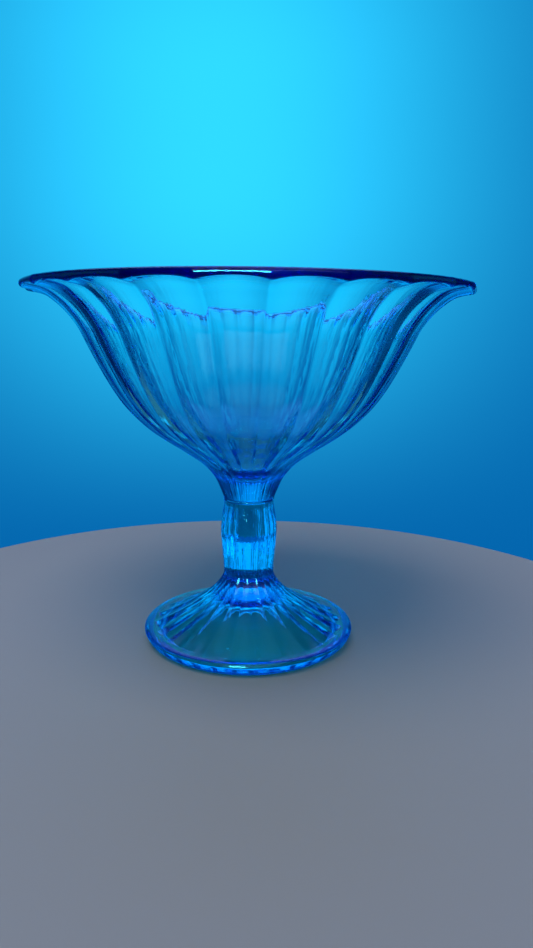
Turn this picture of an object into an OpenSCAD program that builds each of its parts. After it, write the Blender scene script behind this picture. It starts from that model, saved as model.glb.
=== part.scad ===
/* [Overall] */
// Width across the rim, measured over two opposite ridges
rim_d = 200; // [150:1:260]
// Height from the table to the top of the rim
total_h = 168; // [140:1:220]
// Flutes around the bowl, the stem and the foot
flute_count = 24; // [12:1:36]
// Facets drawn across one flute
facets = 3; // [2:1:6]

/* [Bowl] */
// Thickness of the rounded lip
lip_t = 4.3; // [2.5:0.1:6]
// Angle at which the lip leaves the wall, above level
lip_angle = 18; // [5:1:40]
// Thickness of the wall at a ridge, where it is thinnest
wall_t = 3.1; // [2.5:0.1:6]
// Thickness of the wall at a ridge, beside the floor
base_wall_t = 5; // [3:0.1:9]
// Where the wall is thinnest, as a share of the way from the floor to the lip
thin_share = 0.6; // [0.3:0.05:0.8]
// Depth of a bowl flute, as a share of its width
bowl_flute_share = 0.045; // [0.02:0.005:0.08]

/* [Joining wafer] */
// Thickness of the wafer between bowl and stem
wafer_t = 1; // [0.5:0.1:3]
// How far the wafer's edge stands proud of the ridges
wafer_proud = 0.25; // [0:0.05:1]

/* [Stem] */
// Height of the fluted stem
stem_h = 36.3; // [20:0.1:60]
// Width of the stem at its belly
belly_d = 27.2; // [20:0.1:40]
// Width of the waist where bowl and stem meet
waist_d = 23.8; // [16:0.1:34]
// Width of the seam where stem and foot meet
seam_d = 24; // [16:0.1:36]
// Depth of a stem flute, as a share of its width
stem_flute_share = 0.12; // [0.04:0.01:0.18]

/* [Foot] */
// Width of the foot at its widest
foot_d = 101.6; // [70:0.1:140]
// Height of the foot, up to the seam
foot_h = 32; // [20:0.1:50]
// How far the standing ring's outer edge lies inside the foot's widest
stand_inset = 5.4; // [2:0.1:12]
// Width of the standing ring itself
stand_w = 4.2; // [2:0.1:10]
// Height of the plain rim band of the foot
band_h = 7.2; // [4:0.1:12]
// Width of the plain rim band, seen from above
band_w = 4.6; // [3:0.1:9]
// Depth of the hollow under the foot, as a share of the foot's height
cavity_share = 0.57; // [0.3:0.01:0.75]
// Depth of a foot flute, as a share of its width
foot_flute_share = 0.085; // [0.03:0.005:0.14]

/* [Hidden] */
rim_r = rim_d / 2;
belly_r = belly_d / 2;
waist_r = waist_d / 2;
seam_r = seam_d / 2;
foot_r = foot_d / 2;
stand_r = foot_r - stand_inset;
recess_r = stand_r - stand_w;
lip_r = lip_t / 2;
wafer_z = foot_h + stem_h;
bowl_z = wafer_z + wafer_t;
bowl_h = total_h - bowl_z;
around = flute_count * facets;
half_flute = 180 / flute_count;
// Width of one flute for each unit of radius
flute_width = 2 * tan(half_flute);
cavity_z = foot_h * cavity_share;
glass = [0.05, 0.5, 0.85, 0.6];

// Outside of the bowl above the waist: share of the rim radius, share of the bowl's height
bowl_shares = [
    [0.138, 0.048], [0.167, 0.108], [0.22, 0.169], [0.303, 0.23], [0.396, 0.291], [0.479, 0.352],
    [0.561, 0.433], [0.621, 0.514], [0.679, 0.615], [0.73, 0.716], [0.769, 0.797], [0.812, 0.858],
    [0.86, 0.905], [0.915, 0.942]
];
// First of those points that has the inside of the wall behind it
inner_start = 2;
// Stem between its two ends: share of the way from the end width to the belly, share of the height
stem_shares = [
    [0.06, 0.03], [0.15, 0.11], [0.4, 0.24], [0.66, 0.37], [0.93, 0.51], [1, 0.6], [0.86, 0.7],
    [0.4, 0.83], [0.02, 0.94]
];
// Top of the foot: share of the way from seam to band, share of the height above the band
foot_shares = [
    [0.945, 0.015], [0.75, 0.135], [0.468, 0.347], [0.246, 0.56], [0.129, 0.71], [0.064, 0.823],
    [0.023, 0.919], [0.006, 0.972]
];
// Rim band of the foot: share of the way from stand to widest, share of the band's height
band_shares = [[0.33, 0.08], [0.72, 0.32], [0.95, 0.6], [1, 0.79], [0.87, 0.94], [0.55, 1]];
// Hollow under the foot: share of its radius, share of its depth
cavity_shares = [[0.97, 0.12], [0.85, 0.3], [0.66, 0.57], [0.47, 0.81], [0.35, 0.94], [0.22, 0.99]];

function blend(a, b, t) = a + (b - a) * t;
function held(t) = min(1, max(0, t));
function eased(t) = t * t * (3 - 2 * t);

// A smooth line through all the given points, with some steps between each two
function curve(a, b, c, d, t) =
    (2 * b + (c - a) * t + (2 * a - 5 * b + 4 * c - d) * t * t + (3 * b - a - 3 * c + d) * t * t * t) / 2;
function smooth_line(p, steps) = let (last = len(p) - 1) [
    for (i = [0 : last - 1]) for (k = [0 : steps - 1])
        curve(i == 0 ? 2 * p[0] - p[1] : p[i - 1], p[i], p[i + 1],
            i + 2 > last ? 2 * p[last] - p[last - 1] : p[i + 2], k / steps),
    p[last]
];

// The direction into the glass at point i of a line drawn with the glass on its left
function inward(line, i) = let (
    a = line[max(0, i - 1)],
    b = line[min(len(line) - 1, i + 1)],
    run = norm([b[0] - a[0], b[1] - a[1]])
) [(a[1] - b[1]) / run, (b[0] - a[0]) / run];

// Depth of a flute at radius r, whose depth is the given share of its width
function depth_at(r, share) = r * flute_width * share;

// Closed body around the axis. Each point of the line is radius, height and flute depth.
// It starts and ends on the axis, with the glass on its left. An end that lies level with
// the point beside it becomes one flat face.
module fluted_body(line) {
    last = len(line) - 1;
    rings = last - 1;
    flat_start = line[0][1] == line[1][1];
    flat_end = line[last][1] == line[rings][1];
    top = (rings - 1) * around;
    points = [
        for (i = [1 : rings]) let (
            level = (i == 1 && flat_start) || (i == rings && flat_end),
            into = level ? [-1, 0] : inward(line, i)
        ) for (j = [0 : around - 1]) let (
            side = 2 * (j % facets) / facets - 1,
            sink = line[i][2] * (1 - side * side),
            r = line[i][0] + into[0] * sink,
            turn = 360 * j / around - half_flute - 90
        ) [r * cos(turn), r * sin(turn), line[i][1] + into[1] * sink],
        for (end = [0, last]) [0, 0, line[end][1]]
    ];
    start_pole = rings * around;
    steps = [for (j = [0 : around - 1]) [j, (j + 1) % around]];
    start = flat_start ? [[for (s = steps) s[0]]] : [for (s = steps) [start_pole, s[0], s[1]]];
    end = flat_end
        ? [[for (j = [around - 1 : -1 : 0]) top + j]]
        : [for (s = steps) [top + s[0], start_pole + 1, top + s[1]]];
    skin = [for (i = [0 : rings - 2]) for (s = steps) let (a = i * around + s[0], b = i * around + s[1])
        each [[a, a + around, b], [b, a + around, b + around]]];
    polyhedron(points, concat(start, skin, end), convexity = 8);
}

// Bowl: outside line, lip, inside line and floor
lip_centre = [rim_r - lip_r, total_h - lip_r];
lip_into = [-sin(lip_angle), cos(lip_angle)];
bowl_outside = smooth_line(concat(
    [[waist_r, bowl_z, stem_flute_share]],
    [for (s = bowl_shares) [
        s[0] * rim_r,
        bowl_z + s[1] * bowl_h,
        blend(stem_flute_share, bowl_flute_share, held(4 * (s[0] * rim_r - waist_r) / rim_r))
    ]],
    [[lip_centre[0] - lip_into[0] * lip_r, lip_centre[1] - lip_into[1] * lip_r, bowl_flute_share]]
), 2);
// Angles round the lip, from its underside over its widest point to its top
lip_start = lip_angle - 90;
lip_turns = [lip_start / 2, 0, 30, 60, 90];
lip_line = [for (turn = lip_turns) [
    lip_centre[0] + lip_r * cos(turn),
    lip_centre[1] + lip_r * sin(turn),
    bowl_flute_share * (1 - (turn - lip_start) / 180)
]];
inner_first = 2 * (inner_start + 1);
inner_last = len(bowl_outside) - 1;
// Thickness of the wall: thick beside the floor, thinnest part of the way up, then as thick as the lip
function wall_at(up) =
    wall_t + (base_wall_t - wall_t) * pow(held(1 - up / thin_share), 2)
        + (lip_t - wall_t) * eased(held((up - thin_share) / (1 - thin_share)));
bowl_inside = [for (i = [inner_last : -1 : inner_first]) let (
    up = (i - inner_first) / (inner_last - inner_first),
    into = i == inner_last ? lip_into : inward(bowl_outside, i),
    t = i == inner_last ? lip_t : wall_at(up)
) if (i == inner_last || i == inner_first || i % 2 == 0 || up > 0.7)
    [bowl_outside[i][0] + into[0] * t, bowl_outside[i][1] + into[1] * t, 0]];
floor_edge = bowl_inside[len(bowl_inside) - 1];
floor_into = inward(bowl_outside, inner_first);
floor_rise = -floor_into[0] / floor_into[1] * floor_edge[0] / 2;
function floor_at(share) =
    [floor_edge[0] * share, floor_edge[1] - floor_rise * (1 - share * share), 0];

module bowl() {
    color(glass)
    fluted_body(concat(
        [[0, bowl_z, 0]],
        [for (p = concat(bowl_outside, lip_line)) [p[0], p[1], depth_at(p[0], p[2])]],
        bowl_inside,
        [for (share = [0.75, 0.5, 0.25, 0]) floor_at(share)]
    ));
}

// Joining wafer: a thin round disc with a rounded edge, fused between bowl and stem
wafer_r = waist_r + wafer_proud;
module joining_wafer() {
    color(glass)
    translate([0, 0, wafer_z])
    rotate_extrude($fn = around)
    polygon([
        [0, 0],
        [wafer_r - wafer_t / 3, 0],
        [wafer_r, wafer_t / 3],
        [wafer_r, wafer_t * 2 / 3],
        [wafer_r - wafer_t / 3, wafer_t],
        [0, wafer_t]
    ]);
}

// Stem: a solid fluted barrel
stem_line = smooth_line(concat(
    [[seam_r, foot_h]],
    [for (s = stem_shares) [
        blend(blend(seam_r, waist_r, s[1]), belly_r, s[0]),
        foot_h + s[1] * stem_h
    ]],
    [[waist_r, wafer_z]]
), 1);

module stem() {
    color(glass)
    fluted_body(concat(
        [[0, foot_h, 0]],
        [for (p = stem_line) [p[0], p[1], depth_at(p[0], stem_flute_share)]],
        [[0, wafer_z, 0]]
    ));
}

// Foot: fluted skirt, plain rim band, standing ring and the hollow below
flute_end_r = foot_r - band_w;
foot_top = smooth_line(concat(
    [for (s = foot_shares) [
        blend(seam_r, flute_end_r, s[0]),
        blend(band_h, foot_h, s[1]),
        blend(stem_flute_share, foot_flute_share, held(2 * s[0]))
    ]],
    [[seam_r, foot_h, stem_flute_share]]
), 2);
last_cavity = len(cavity_shares) - 1;
foot_cavity = [for (i = [last_cavity : -1 : 0]) let (s = cavity_shares[i])
    [s[0] * recess_r, s[1] * cavity_z, 0]];

module foot() {
    color(glass)
    fluted_body(concat(
        [[0, cavity_z, 0]],
        foot_cavity,
        [[recess_r, 0, 0], [stand_r, 0, 0]],
        [for (s = band_shares) [blend(stand_r, foot_r, s[0]), s[1] * band_h, 0]],
        [[flute_end_r, band_h, 0]],
        [for (p = foot_top) [p[0], p[1], depth_at(p[0], p[2])]],
        [[0, foot_h, 0]]
    ));
}

bowl();
joining_wafer();
stem();
foot();
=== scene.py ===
"""Looks of a footed compote bowl of clear azure pressed glass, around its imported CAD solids."""
import math

import bpy
import numpy as np
from mathutils import Matrix, Vector


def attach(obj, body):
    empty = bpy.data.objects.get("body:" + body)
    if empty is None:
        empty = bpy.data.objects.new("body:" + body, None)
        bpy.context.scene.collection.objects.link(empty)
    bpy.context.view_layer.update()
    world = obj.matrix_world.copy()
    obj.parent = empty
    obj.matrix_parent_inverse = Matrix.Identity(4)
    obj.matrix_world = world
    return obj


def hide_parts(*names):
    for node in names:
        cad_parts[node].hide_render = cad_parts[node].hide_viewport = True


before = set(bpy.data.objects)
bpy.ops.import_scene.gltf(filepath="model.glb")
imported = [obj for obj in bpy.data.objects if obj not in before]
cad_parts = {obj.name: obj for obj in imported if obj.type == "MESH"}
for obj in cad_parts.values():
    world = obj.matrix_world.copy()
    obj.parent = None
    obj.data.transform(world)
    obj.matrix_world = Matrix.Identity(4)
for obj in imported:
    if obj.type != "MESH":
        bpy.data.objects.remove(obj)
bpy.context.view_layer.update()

MM = 0.001

# Sizes of the object in millimetres, as in the CAD source
RIM_R, TOTAL_H, FLUTES = 100.0, 168.0, 24
LIP_T, WALL_T, BASE_WALL_T, THIN_SHARE = 4.3, 3.1, 5.0, 0.6
LIP_ANGLE = math.radians(18.0)
WAFER_T, WAFER_PROUD = 1.0, 0.25
STEM_H, BELLY_R, WAIST_R, SEAM_R = 36.3, 13.6, 11.9, 12.0
FOOT_R, FOOT_H, STAND_INSET, STAND_W = 50.8, 32.0, 5.4, 4.2
BAND_H, BAND_W, CAVITY_SHARE = 7.2, 4.6, 0.57
WAFER_Z = FOOT_H + STEM_H
BOWL_Z = WAFER_Z + WAFER_T
BOWL_H = TOTAL_H - BOWL_Z
STAND_R = FOOT_R - STAND_INSET
RECESS_R = STAND_R - STAND_W
CAVITY_Z = FOOT_H * CAVITY_SHARE
FLUTE_END_R = FOOT_R - BAND_W
FLUTE_WIDTH = 2 * math.tan(math.pi / FLUTES)

# Depth of a flute as a share of its width. The bowl's are deeper than the CAD source's 0.045, as
# they are in the photograph
BOWL_FLUTE, STEM_FLUTE, FOOT_FLUTE = 0.06, 0.12, 0.085
# Away from the stem the share changes to the bowl's over a quarter of the rim's radius, and to the
# foot's over half of the foot's flutes
BOWL_FLUTE_RISE, FOOT_FLUTE_RISE = 4, 2
# A foot flute runs out against the rim band with this slope, and this softly
RUN_OUT, RUN_OUT_SOFT = 0.75, 0.12

# Outlines, as shares of each piece's own width and height
BOWL_SHARES = [
    (0.138, 0.048), (0.167, 0.108), (0.22, 0.169), (0.303, 0.23), (0.396, 0.291), (0.479, 0.352),
    (0.561, 0.433), (0.621, 0.514), (0.679, 0.615), (0.73, 0.716), (0.769, 0.797), (0.812, 0.858),
    (0.86, 0.905), (0.915, 0.942),
]
STEM_SHARES = [
    (0.06, 0.03), (0.15, 0.11), (0.4, 0.24), (0.66, 0.37), (0.93, 0.51), (1, 0.6), (0.86, 0.7),
    (0.4, 0.83), (0.02, 0.94),
]
FOOT_SHARES = [
    (0.945, 0.015), (0.75, 0.135), (0.468, 0.347), (0.246, 0.56), (0.129, 0.71), (0.064, 0.823),
    (0.023, 0.919), (0.006, 0.972),
]
BAND_SHARES = [(0.33, 0.08), (0.72, 0.32), (0.95, 0.6), (1, 0.79), (0.87, 0.94), (0.55, 1)]
CAVITY_SHARES = [(0.97, 0.12), (0.85, 0.3), (0.66, 0.57), (0.47, 0.81), (0.35, 0.94), (0.22, 0.99)]

# The bowl's inside starts at this point of BOWL_SHARES, and its floor is drawn at these shares of
# the inside's lowest radius
INNER_START = 2
FLOOR_SHARES = np.linspace(0.92, 0.02, 12)
# Width and height of the standing ring's softened corners, and where its flat begins from each
SOFT_IN, SOFT_OUT = (0.35, 0.4), (0.3, 0.25)
FLAT_IN, FLAT_OUT = 1.2, 1
# How far the wafer's edge bulges for each unit of its half thickness, how far inside the neck its
# fused faces stop, so that they keep within the hollows of the flutes, and the points on its edge
WAFER_BULGE, WAFER_FACE_INSET, WAFER_POINTS = 0.7, 0.43, 9

# How finely the surfaces are drawn, and how round the ridges are, as a share of half a flute
BOWL_STEPS, STEM_STEPS, FOOT_STEPS, BAND_STEPS, CAVITY_STEPS, LIP_STEPS = 8, 6, 10, 5, 4, 12
BOWL_ROUND, STEM_ROUND, FOOT_ROUND = 0.05, 0.16, 0.05
# Every point of the bowl's inside is kept above this share of its height, and every second below
INSIDE_FINE = 0.8
# Places across one flute, from one ridge to the next, closer together near the ridges
HALF_FLUTE = np.array([0.0, 0.2, 0.4, 0.58, 0.73, 0.85, 0.93])
ACROSS_FLUTE = np.concatenate([[-1.0], -HALF_FLUTE[:0:-1], HALF_FLUTE])
# The rim is drawn this much inside the CAD solid and this much lower, because the facets there cut
# across the flutes
RIM_INSET, LOWERED = 0.12, 0.03
# Fused faces lap by this much, so that no film of air lies between two pieces
LAP = 0.02
# A ring of points this close to a sharp edge keeps the shading of the side beside it true
EDGE = 0.05
# Heights closer than these are taken as one, at a flat end and at the top of the rim band
SAME_HEIGHT, BAND_TOLERANCE = 1e-6, 0.01


def blend(a, b, t):
    return a + (b - a) * t


def held(t):
    return min(1.0, max(0.0, t))


def smooth_line(points, steps):
    """A smooth line through all the points, with some steps between each two."""
    p = np.array(points, float)
    p = np.vstack([2 * p[0] - p[1], p, 2 * p[-1] - p[-2]])
    out = []
    for i in range(1, len(p) - 2):
        a, b, c, d = p[i - 1:i + 3]
        for k in range(steps):
            t = k / steps
            out.append((2 * b + (c - a) * t + (2 * a - 5 * b + 4 * c - d) * t ** 2
                        + (3 * b - a - 3 * c + d) * t ** 3) / 2)
    out.append(p[-2])
    return np.array(out)


def inward(line):
    """For each point of a line drawn with the glass on its left, the direction into the glass."""
    run = np.gradient(line[:, :2], axis=0)
    run /= np.maximum(np.hypot(run[:, 0], run[:, 1]), 1e-9)[:, None]
    return np.column_stack([-run[:, 1], run[:, 0]])


def depth_at(r, share):
    """Depth of a flute at radius r, whose depth is the given share of its width."""
    return r * FLUTE_WIDTH * share


def fluted(points):
    """The points with the flute's depth in place of its share."""
    return [(r, z, depth_at(r, share)) for r, z, share in points]


def plain(points):
    """The points with no flute."""
    return [(r, z, 0) for r, z in points]


def seat(r, z, up):
    """The flat fused end of a fluted side, from the axis outwards. up is 1 where the side rises
    from it, and -1 where it comes up to it."""
    depth = depth_at(r, STEM_FLUTE)
    return [(0, z - up * LAP, 0), (r - LAP, z - up * LAP, depth), (r, z, depth),
            (r, z + up * EDGE, depth)]


def hollow(side, rounding):
    """Share of a flute's depth at each place across it, with the ridges rounded off."""
    s, flat = np.abs(side), 1 - rounding
    crest = flat ** 2 + 2 * flat * (s - flat) - flat / rounding * (s - flat) ** 2
    return 1 - np.where(s <= flat, s ** 2, crest)


def limited(sink, most):
    """The lesser of the two, with a soft change from one to the other, and 0 where sink is 0."""
    lesser = sink + most - np.sqrt((sink - most) ** 2 + RUN_OUT_SOFT ** 2)
    shift = np.sqrt(most ** 2 + RUN_OUT_SOFT ** 2) - most
    return np.maximum(0.5 * lesser + 0.5 * shift, 0)


def closed_faces(rings, around):
    """Quads between the rings, then the triangles that close the first ring and the last."""
    j = np.arange(around)
    nxt = (j + 1) % around
    faces = []
    for i in range(rings - 1):
        a, b = i * around + j, i * around + nxt
        faces += np.column_stack([a, b, b + around, a + around]).tolist()
    first_pole, last_pole = rings * around, rings * around + 1
    last = (rings - 1) * around
    faces += np.column_stack([np.full(around, first_pole), nxt, j]).tolist()
    faces += np.column_stack([np.full(around, last_pole), last + j, last + nxt]).tolist()
    return faces


def add_object(name, data):
    ob = bpy.data.objects.new(name, data)
    bpy.context.scene.collection.objects.link(ob)
    return ob


def fluted_mesh(name, line, rounding, ends=(False, False), limit=None):
    """A closed fluted body. Each point of the line is radius, height and flute depth, and it starts
    and ends on the axis. ends says which of its two flat ends are fused to a neighbour."""
    line = np.array(line, float)
    rings = line[1:-1]
    into = inward(line)[1:-1]
    for end in (0, -1):
        if abs(line[end][1] - rings[end][1]) < SAME_HEIGHT:
            into[end] = (-1, 0)
    side = np.tile(ACROSS_FLUTE, FLUTES)
    turn = 2 * math.pi * (np.repeat(np.arange(FLUTES), len(ACROSS_FLUTE)) + (side + 1) / 2) / FLUTES
    turn -= math.pi / FLUTES + math.pi / 2
    sink = rings[:, 2:3] * hollow(side, rounding)[None, :]
    if limit is not None:
        sink = limited(sink, limit(rings)[:, None])
    r = rings[:, 0:1] + into[:, 0:1] * sink
    z = rings[:, 1:2] + into[:, 1:2] * sink
    around = len(turn)
    co = np.empty((len(rings), around, 3))
    co[..., 0], co[..., 1], co[..., 2] = r * np.cos(turn), r * np.sin(turn), z
    poles = np.array([[0, 0, line[0][1]], [0, 0, line[-1][1]]])
    verts = np.vstack([co.reshape(-1, 3), poles]) * MM
    faces = closed_faces(len(rings), around)
    mesh = bpy.data.meshes.new(name)
    mesh.from_pydata(verts.tolist(), [], faces)
    fused = np.repeat([0.0, *ends], [len(faces) - 2 * around, around, around])
    fused_values = mesh.attributes.new("fused", "FLOAT", "FACE").data
    fused_values.foreach_set("value", fused.astype(np.float32))
    mesh.polygons.foreach_set("use_smooth", np.ones(len(faces), bool))
    mesh.update()
    return add_object(name, mesh)


def wall_at(up):
    """Thickness of the bowl's wall at a share of the way from the floor to the lip."""
    rise = held((up - THIN_SHARE) / (1 - THIN_SHARE))
    return (WALL_T + (BASE_WALL_T - WALL_T) * held(1 - up / THIN_SHARE) ** 2
            + (LIP_T - WALL_T) * rise * rise * (3 - 2 * rise))


def bowl_line():
    """The bowl: up its outside, over the round lip, down its inside and in along its floor."""
    lip_r = LIP_T / 2
    centre = np.array([RIM_R - RIM_INSET - lip_r, TOTAL_H - LOWERED - lip_r])
    last = centre - np.array([-math.sin(LIP_ANGLE), math.cos(LIP_ANGLE)]) * lip_r
    points = [(WAIST_R, BOWL_Z, STEM_FLUTE)]
    for a, b in BOWL_SHARES:
        r = a * RIM_R
        share = blend(STEM_FLUTE, BOWL_FLUTE, held(BOWL_FLUTE_RISE * (r - WAIST_R) / RIM_R))
        points.append((r, BOWL_Z + b * BOWL_H, share))
    points.append((last[0], last[1], BOWL_FLUTE))
    outside = smooth_line(points, BOWL_STEPS)

    run = outside[-1] - outside[-2]
    lip_start = math.atan2(run[1], run[0]) - math.pi / 2
    lip = []
    for k in range(1, LIP_STEPS):
        turn = lip_start + math.pi * k / LIP_STEPS
        lip.append((centre[0] + lip_r * math.cos(turn), centre[1] + lip_r * math.sin(turn),
                    BOWL_FLUTE * (1 - k / LIP_STEPS)))

    normal = inward(outside)
    first, end = BOWL_STEPS * (INNER_START + 1), len(outside) - 1
    inside = []
    for i in range(end, first - 1, -1):
        up = (i - first) / (end - first)
        if i % 2 == 0 or up > INSIDE_FINE:
            inside.append(outside[i][:2] + normal[i] * wall_at(up))
    edge, into = inside[-1], normal[first]
    dip = -into[0] / into[1] * edge[0] / 2
    floor = [(edge[0] * s, edge[1] - dip * (1 - s * s)) for s in FLOOR_SHARES]
    floor.append((0, edge[1] - dip))
    return seat(WAIST_R, BOWL_Z, 1) + fluted(list(outside[1:]) + lip) + plain(inside + floor)


def stem_line():
    """The stem, from its lower fused end to its upper one."""
    points = [(SEAM_R, FOOT_H, STEM_FLUTE)]
    for a, b in STEM_SHARES:
        r = blend(blend(SEAM_R, WAIST_R, b), BELLY_R, a)
        points.append((r, FOOT_H + b * STEM_H, STEM_FLUTE))
    points.append((WAIST_R, WAFER_Z, STEM_FLUTE))
    side = fluted(smooth_line(points, STEM_STEPS)[1:-1])
    return seat(SEAM_R, FOOT_H, 1) + side + seat(WAIST_R, WAFER_Z, -1)[::-1]


def foot_line():
    """The foot: out along the hollow under it, round its ring and band, and in over its flutes."""
    cavity = [(0, CAVITY_Z)] + [(a * RECESS_R, b * CAVITY_Z) for a, b in CAVITY_SHARES[::-1]]
    cavity = smooth_line(cavity + [(RECESS_R, SOFT_IN[1])], CAVITY_STEPS)
    ring = [(RECESS_R + SOFT_IN[0], 0), (RECESS_R + FLAT_IN, 0),
            (STAND_R - FLAT_OUT, 0), (STAND_R - SOFT_OUT[0], 0)]
    band = [(STAND_R, SOFT_OUT[1])]
    for a, b in BAND_SHARES:
        band.append((blend(STAND_R, FOOT_R, a), b * BAND_H))
    band = smooth_line(band + [(FLUTE_END_R, BAND_H)], BAND_STEPS)
    top = [(FLUTE_END_R, BAND_H, FOOT_FLUTE)]
    for a, b in FOOT_SHARES:
        share = blend(STEM_FLUTE, FOOT_FLUTE, held(FOOT_FLUTE_RISE * a))
        top.append((blend(SEAM_R, FLUTE_END_R, a), blend(BAND_H, FOOT_H, b), share))
    top = smooth_line(top + [(SEAM_R, FOOT_H, STEM_FLUTE)], FOOT_STEPS)
    return (plain(list(cavity) + ring + list(band)) + fluted(top[1:-1])
            + seat(SEAM_R, FOOT_H, -1)[::-1])


def foot_limit(rings):
    """How deep a foot flute may be at each ring: it runs out against the plain rim band."""
    from_band = np.maximum(FLUTE_END_R - rings[:, 0], 0)
    return np.where(rings[:, 1] >= BAND_H - BAND_TOLERANCE, RUN_OUT * from_band, 0)


def wafer_line():
    """The wafer, with a round bead for its edge."""
    half = WAFER_T / 2
    bulge = half * WAFER_BULGE
    edge_r = WAIST_R + WAFER_PROUD - bulge
    arc = [(edge_r + bulge * math.cos(t), WAFER_Z + half + half * math.sin(t))
           for t in np.linspace(-math.pi / 2, math.pi / 2, WAFER_POINTS)]
    face_r = WAIST_R - WAFER_FACE_INSET
    low, high = WAFER_Z - LAP / 2, BOWL_Z + LAP / 2
    return plain([(0, low), (face_r, low), (face_r + EDGE, WAFER_Z)] + arc
                 + [(face_r + EDGE, BOWL_Z), (face_r, high), (0, high)])


def feed(nt, socket, value):
    """Give a node's input a value, or link it to another node's output."""
    if isinstance(value, bpy.types.NodeSocket):
        nt.links.new(value, socket)
    elif socket.type == "RGBA":
        socket.default_value = (*value, 1)
    else:
        socket.default_value = value


def maths(nt, operation, *values):
    node = nt.nodes.new("ShaderNodeMath")
    node.operation = operation
    for socket, value in zip(node.inputs, values):
        feed(nt, socket, value)
    return node.outputs["Value"]


def vector_maths(nt, operation, *values):
    node = nt.nodes.new("ShaderNodeVectorMath")
    node.operation = operation
    for socket, value in zip(node.inputs, values):
        feed(nt, socket, value)
    return node.outputs["Vector"]


def mix_colours(nt, share, a, b):
    mix = nt.nodes.new("ShaderNodeMix")
    mix.data_type = "RGBA"
    for name, value in (("Factor", share), ("A", a), ("B", b)):
        feed(nt, mix.inputs[name], value)
    return mix.outputs["Result"]


def ramp(nt, source, low, high, a, b):
    """A soft change from colour a to colour b while the source goes from low to high."""
    reach = nt.nodes.new("ShaderNodeMapRange")
    reach.interpolation_type = "SMOOTHSTEP"
    for name, value in (("Value", source), ("From Min", low), ("From Max", high)):
        feed(nt, reach.inputs[name], value)
    return mix_colours(nt, reach.outputs["Result"], a, b)


BLACK, WHITE = (0, 0, 0), (1, 1, 1)


def between(nt, source, a, b, c, d):
    """1 while the source is between b and c, falling softly to 0 at a and at d."""
    return maths(nt, "MULTIPLY", ramp(nt, source, a, b, BLACK, WHITE),
                 ramp(nt, source, c, d, WHITE, BLACK))


# The glass: its surface's tint, and the colour that is left of white light at depth. Where two
# pieces are fused, their faces don't bend the light
GLASS_TINT = (0.97, 0.99, 1.0)
GLASS_IOR, FUSED_IOR = 1.5, 1.0
GLASS_DEPTH, GLASS_DENSITY = (0.0, 0.90, 0.98), 300.0
# Its faint waves: their detail and height in metres. Then for each piece how strong they are, how
# many lie side by side, and how fast they change with height
WAVE_DETAIL, WAVE_HEIGHT = 2.0, 0.0004
BOWL_WAVES, WAFER_WAVES = (0.3, 22, 3), (0.1, 8, 5)
STEM_WAVES, FOOT_WAVES = (0.3, 20, 6), (0.25, 20, 3)


def glass(name, waviness, scale, drawn):
    """Clear azure glass with the faint waves of a pressed surface, drawn out along its flutes."""
    mat = bpy.data.materials.new(name)
    mat.use_nodes = True
    nt = mat.node_tree
    nt.nodes.clear()
    place = nt.nodes.new("ShaderNodeTexCoord").outputs["Object"]
    turn = vector_maths(nt, "NORMALIZE", vector_maths(nt, "MULTIPLY", place, (1, 1, 0)))
    along = vector_maths(nt, "MULTIPLY", place, (0, 0, drawn))
    waves = nt.nodes.new("ShaderNodeTexNoise")
    feed(nt, waves.inputs["Vector"], vector_maths(nt, "ADD", turn, along))
    feed(nt, waves.inputs["Scale"], scale)
    feed(nt, waves.inputs["Detail"], WAVE_DETAIL)
    bump = nt.nodes.new("ShaderNodeBump")
    feed(nt, bump.inputs["Strength"], waviness)
    feed(nt, bump.inputs["Distance"], WAVE_HEIGHT)
    feed(nt, bump.inputs["Height"], waves.outputs["Fac"])
    fused = nt.nodes.new("ShaderNodeAttribute")
    fused.attribute_name = "fused"
    bend = nt.nodes.new("ShaderNodeMapRange")
    feed(nt, bend.inputs["Value"], fused.outputs["Fac"])
    feed(nt, bend.inputs["To Min"], GLASS_IOR)
    feed(nt, bend.inputs["To Max"], FUSED_IOR)
    surface = nt.nodes.new("ShaderNodeBsdfPrincipled")
    feed(nt, surface.inputs["Base Color"], GLASS_TINT)
    feed(nt, surface.inputs["Transmission Weight"], 1.0)
    feed(nt, surface.inputs["Roughness"], 0.0)
    feed(nt, surface.inputs["IOR"], bend.outputs["Result"])
    feed(nt, surface.inputs["Normal"], bump.outputs["Normal"])
    depth = nt.nodes.new("ShaderNodeVolumeAbsorption")
    feed(nt, depth.inputs["Color"], GLASS_DEPTH)
    feed(nt, depth.inputs["Density"], GLASS_DENSITY)
    out = nt.nodes.new("ShaderNodeOutputMaterial")
    feed(nt, out.inputs["Surface"], surface.outputs["BSDF"])
    feed(nt, out.inputs["Volume"], depth.outputs["Volume"])
    return mat


def dress(piece, node, waviness, scale, drawn):
    piece.data.materials.append(glass("azure_glass_" + node, waviness, scale, drawn))
    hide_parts(node)
    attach(piece, "root")


dress(fluted_mesh("bowl_glass", bowl_line(), BOWL_ROUND, (True, False)), "bowl", *BOWL_WAVES)
dress(fluted_mesh("joining_wafer_glass", wafer_line(), BOWL_ROUND, (True, True)),
      "joining_wafer", *WAFER_WAVES)
dress(fluted_mesh("stem_glass", stem_line(), STEM_ROUND, (True, True)), "stem", *STEM_WAVES)
dress(fluted_mesh("foot_glass", foot_line(), FOOT_ROUND, (False, True), foot_limit),
      "foot", *FOOT_WAVES)

# The stage, in metres: a plain round top for the object to stand on, a hair under it
TOP_R, TOP_Y, TOP_Z, TOP_CORNERS = 0.228, -0.013, -0.0001, 256
TOP_COLOUR, TOP_ROUGHNESS = (0.37, 0.32, 0.30), 0.85


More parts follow.
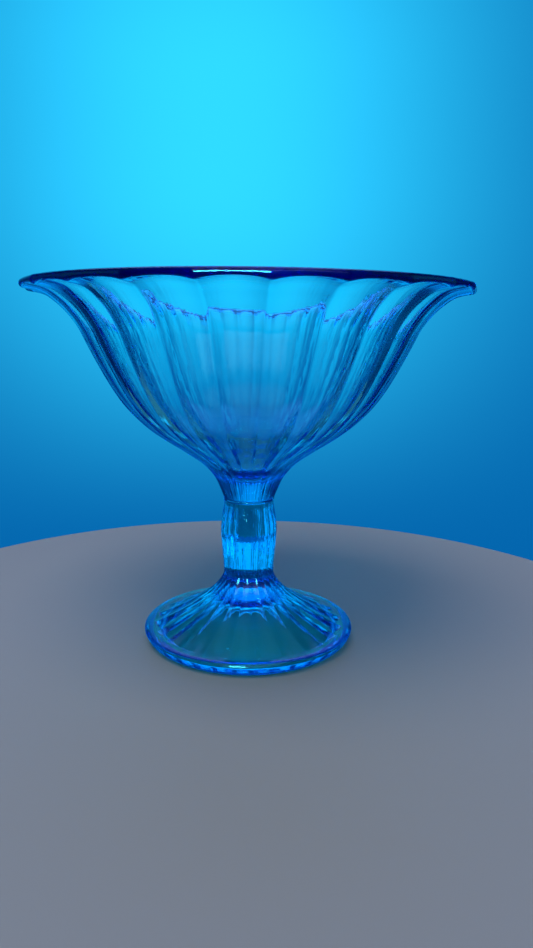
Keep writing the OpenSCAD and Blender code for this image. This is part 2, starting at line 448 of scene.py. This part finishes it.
def table_top():
    turn = [2 * math.pi * k / TOP_CORNERS for k in range(TOP_CORNERS)]
    verts = [(TOP_R * math.cos(t), TOP_Y + TOP_R * math.sin(t), TOP_Z) for t in turn]
    mesh = bpy.data.meshes.new("floor")
    mesh.from_pydata(verts, [], [tuple(range(TOP_CORNERS))])
    paint = bpy.data.materials.new("floor_paint")
    paint.use_nodes = True
    body = paint.node_tree.nodes["Principled BSDF"]
    feed(paint.node_tree, body.inputs["Base Color"], TOP_COLOUR)
    feed(paint.node_tree, body.inputs["Roughness"], TOP_ROUGHNESS)
    mesh.materials.append(paint)
    ob = add_object("floor", mesh)
    # Left out of the glass's reflections, where its grey would haze the bowl
    ob.visible_glossy = False


table_top()


def lamp(name, place, aim, width, height, watts, colour, shows, spread=math.pi):
    """A soft lamp. shows names the rays that meet it, besides those of a lit surface."""
    data = bpy.data.lights.new(name, "AREA")
    data.shape = "RECTANGLE"
    data.size, data.size_y = width, height
    data.energy = watts
    data.color = colour
    data.spread = spread
    ob = add_object(name, data)
    ob.location = place
    ob.rotation_mode = "QUATERNION"
    ob.rotation_quaternion = (Vector(aim) - Vector(place)).to_track_quat("-Z", "Y")
    for rays in ("camera", "diffuse", "glossy", "transmission"):
        setattr(ob, "visible_" + rays, rays in shows)


# Lamps, in metres: a window for the glints, a soft top light for the table, and a row of cards
# behind the foot that are seen only through the glass, for the light from the table and the wall
CYAN, AZURE = (0.1, 0.93, 1.0), (0.03, 0.6, 1.0)
MIDDLE = (0, 0, 0.1)
CARDS_ASIDE, CARD_STEP, CARD_Y, CARD_Z = 3, 0.032, 0.055, 0.0258
CARD_W, CARD_H, CARD_WATTS, CARD_SPREAD = 0.022, 0.0224, 0.0011, math.radians(130)

lamp("window", place=(-0.15, -1.2, 0.46), aim=MIDDLE, width=0.42, height=0.6, watts=24,
     colour=CYAN, shows=("glossy", "transmission"))
lamp("top", place=(-0.2, -0.5, 1.4), aim=MIDDLE, width=0.8, height=0.8, watts=8.5,
     colour=WHITE, shows=("diffuse",))
for i in range(-CARDS_ASIDE, CARDS_ASIDE + 1):
    lamp("card_" + str(i + CARDS_ASIDE), place=(i * CARD_STEP, CARD_Y, CARD_Z), aim=(0, 0, CARD_Z),
         width=CARD_W, height=CARD_H, watts=CARD_WATTS, colour=AZURE, shows=("transmission",),
         spread=CARD_SPREAD)

# The room: four azure walls, each bright in its middle and dark in its corners, the back one
# brightest, with a high window in front, an azure glow high up behind and a dim one overhead
ROOM_TURN = math.radians(6)
CORNER, WALL, WALL_SPOT = (0.0003, 0.005, 0.08), (0.001, 0.13, 0.42), (0.03, 0.72, 1.2)
OTHER_WALLS = (0.45, 0.45, 0.45)
WINDOW_GLOW, HIGH_GLOW, OVERHEAD_GLOW = (0.8, 0.95, 1.1), (0.4, 0.85, 2.2), (0.4, 0.48, 0.6)
# Where these change. Across the room's walls, 1 is the middle of a wall and 0.71 a corner
CORNER_END, SPOT_POWER = (0.78, 0.95), 16.0
# Towards the back wall, or the front one, 1 is straight at it
BACK_LIT, WINDOW_ACROSS = (0.3, 0.85), (0.7, 0.85)
# Upwards, 1 is straight up
SPOT_UP, WINDOW_UP, OVERHEAD_UP = (-0.33, 0.2, 0.3, 0.75), (0.5, 0.64, 0.8, 0.87), (0.90, 0.985)
# Along the direction of the high glow, 1 is straight at it
HIGH_BACK, HIGH_UP, HIGH_END = 0.6, 0.8, (0.86, 0.97)
# Just over 1, which keeps a direction straight up from being divided by 0
JUST_OVER_1 = 1.0001


def studio_room():
    world = bpy.data.worlds.new("studio")
    world.use_nodes = True
    nt = world.node_tree
    turned = nt.nodes.new("ShaderNodeMapping")
    turned.inputs["Rotation"].default_value = (0, 0, -ROOM_TURN)
    nt.links.new(nt.nodes.new("ShaderNodeTexCoord").outputs["Generated"], turned.inputs["Vector"])
    split = nt.nodes.new("ShaderNodeSeparateXYZ")
    nt.links.new(turned.outputs["Vector"], split.inputs["Vector"])
    to_side, to_back, up = (split.outputs[axis] for axis in "XYZ")
    level = maths(nt, "SQRT", maths(nt, "SUBTRACT", JUST_OVER_1, maths(nt, "MULTIPLY", up, up)))
    nearest = maths(nt, "MAXIMUM", maths(nt, "ABSOLUTE", to_side), maths(nt, "ABSOLUTE", to_back))
    facing = maths(nt, "DIVIDE", nearest, level)
    back = maths(nt, "DIVIDE", to_back, level)
    front = maths(nt, "MULTIPLY", back, -1.0)

    # The corners are dark only in the glass, and the camera sees an even wall
    paths = nt.nodes.new("ShaderNodeLightPath")
    clear = maths(nt, "MAXIMUM", ramp(nt, facing, *CORNER_END, BLACK, WHITE),
                  paths.outputs["Is Camera Ray"])
    wall = mix_colours(nt, clear, CORNER, WALL)
    spot = maths(nt, "MULTIPLY", maths(nt, "POWER", facing, SPOT_POWER),
                 between(nt, up, *SPOT_UP))
    wall = mix_colours(nt, spot, wall, WALL_SPOT)
    room = mix_colours(nt, ramp(nt, back, *BACK_LIT, OTHER_WALLS, WHITE), BLACK, wall)

    window = maths(nt, "MULTIPLY", between(nt, up, *WINDOW_UP),
                   ramp(nt, front, *WINDOW_ACROSS, BLACK, WHITE))
    room = mix_colours(nt, window, room, WINDOW_GLOW)
    high = maths(nt, "ADD", maths(nt, "MULTIPLY", to_back, HIGH_BACK),
                 maths(nt, "MULTIPLY", up, HIGH_UP))
    room = ramp(nt, high, *HIGH_END, room, HIGH_GLOW)
    room = ramp(nt, up, *OVERHEAD_UP, room, OVERHEAD_GLOW)
    nt.links.new(room, nt.nodes["Background"].inputs["Color"])
    bpy.context.scene.world = world


studio_room()

# Light passes through many faces of the glass
BOUNCES = 32
bpy.context.scene.cycles.max_bounces = BOUNCES
bpy.context.scene.cycles.transmission_bounces = BOUNCES
bpy.context.scene.cycles.glossy_bounces = BOUNCES

# Camera of the photograph, found from the circles of the table and of the rim
PHOTO_H, FOCAL_PX, SENSOR_MM = 948, 720.0, 36.0
PITCH, ROLL, CAMERA_TURN = 0.1966, 0.0099, math.radians(1.85)
CAMERA_PLACE = Vector((8.26, -337.21, 147.71)) * MM
CLIP_NEAR, CLIP_FAR = 0.01, 50


def photo_camera():
    forward = Vector((0, math.cos(PITCH), -math.sin(PITCH)))
    upward = Vector((0, math.sin(PITCH), math.cos(PITCH)))
    right = Vector((1, 0, 0))
    across = math.cos(ROLL) * right + math.sin(ROLL) * upward
    above = -math.sin(ROLL) * right + math.cos(ROLL) * upward
    rows = [(across[i], above[i], -forward[i], CAMERA_PLACE[i]) for i in range(3)]
    camera = add_object("camera", bpy.data.cameras.new("camera"))
    camera.data.sensor_width = SENSOR_MM
    camera.data.lens = SENSOR_MM * FOCAL_PX / PHOTO_H
    camera.data.clip_start, camera.data.clip_end = CLIP_NEAR, CLIP_FAR
    camera.matrix_world = Matrix.Rotation(CAMERA_TURN, 4, "Z") @ Matrix(rows + [(0, 0, 0, 1)])
    return camera


bpy.context.scene.camera = photo_camera()
bpy.context.scene.view_settings.view_transform = "Standard"
